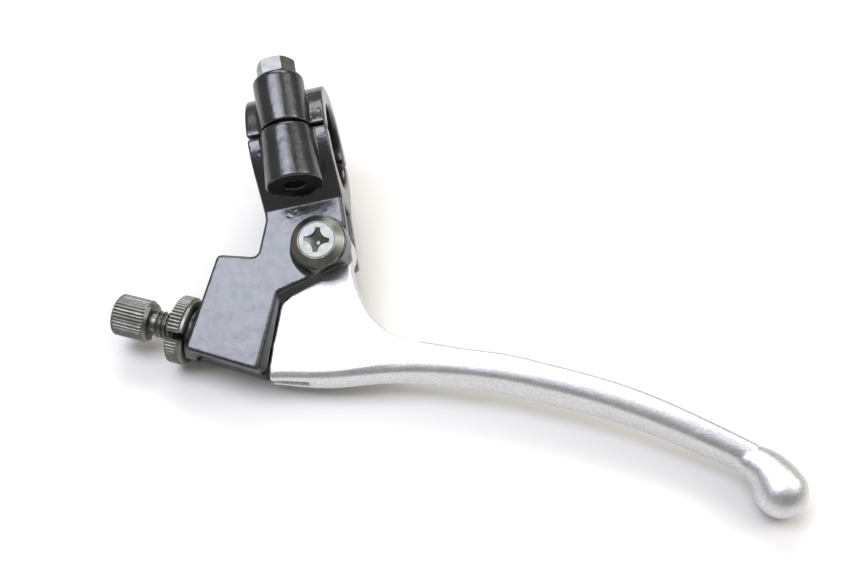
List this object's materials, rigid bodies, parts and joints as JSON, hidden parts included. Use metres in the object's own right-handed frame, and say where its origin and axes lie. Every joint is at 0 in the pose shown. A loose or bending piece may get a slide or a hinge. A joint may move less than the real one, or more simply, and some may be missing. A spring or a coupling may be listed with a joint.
{
  "type": "motorcycle clutch lever and perch",
  "caption": "Cable clutch lever with a forked perch, split handlebar clamp, ball-ended blade and a knurled cable adjuster with lock nut.",
  "frame": {"origin": "on the handlebar's axis, at the middle of the clamp", "axes": "+X along the handlebar towards the lever's ball end, +Y from the lever back to the rider, +Z parallel to the lever's pivot axis, out of the face with the cross-head screw"},
  "size_m": [0.1809, 0.151, 0.0528],
  "materials": {
    "black_paint": "gloss black paint on cast aluminium",
    "polished_alloy": "satin polished cast aluminium",
    "zinc_steel": "bright zinc-plated steel",
    "dark_steel": "dark olive-grey plated steel"
  },
  "bodies": {
    "perch": {"perch_bracket": "black_paint", "clamp_cap": "black_paint", "clamp_bolt_upper": "zinc_steel", "clamp_bolt_lower": "zinc_steel", "pivot_sleeve": "dark_steel", "pivot_screw": "zinc_steel", "pivot_washer": "zinc_steel", "pivot_spring_washer": "zinc_steel", "pivot_nut": "zinc_steel"},
    "lever": {"lever_blade": "polished_alloy"},
    "adjuster": {"cable_adjuster": "dark_steel"},
    "lock_nut": {"adjuster_lock_nut": "dark_steel"}
  },
  "joints": [
    {"name": "lever_pivot", "type": "hinge", "parent": "perch", "child": "lever", "pos_m": [0.0032, -0.0331, 0.0002], "axis": [0, 0, 1], "range_deg": [0, 30]},
    {"name": "adjuster_feed", "type": "slide", "parent": "perch", "child": "adjuster", "axis": [-0.9026, 0.4305, 0], "range_m": [-0.0074, 0.006]},
    {"name": "lock_nut_turn", "type": "hinge", "parent": "perch", "child": "lock_nut", "pos_m": [-0.0367, -0.0484, 0.0002], "axis": [-0.9026, 0.4305, 0], "continuous": true}
  ]
}
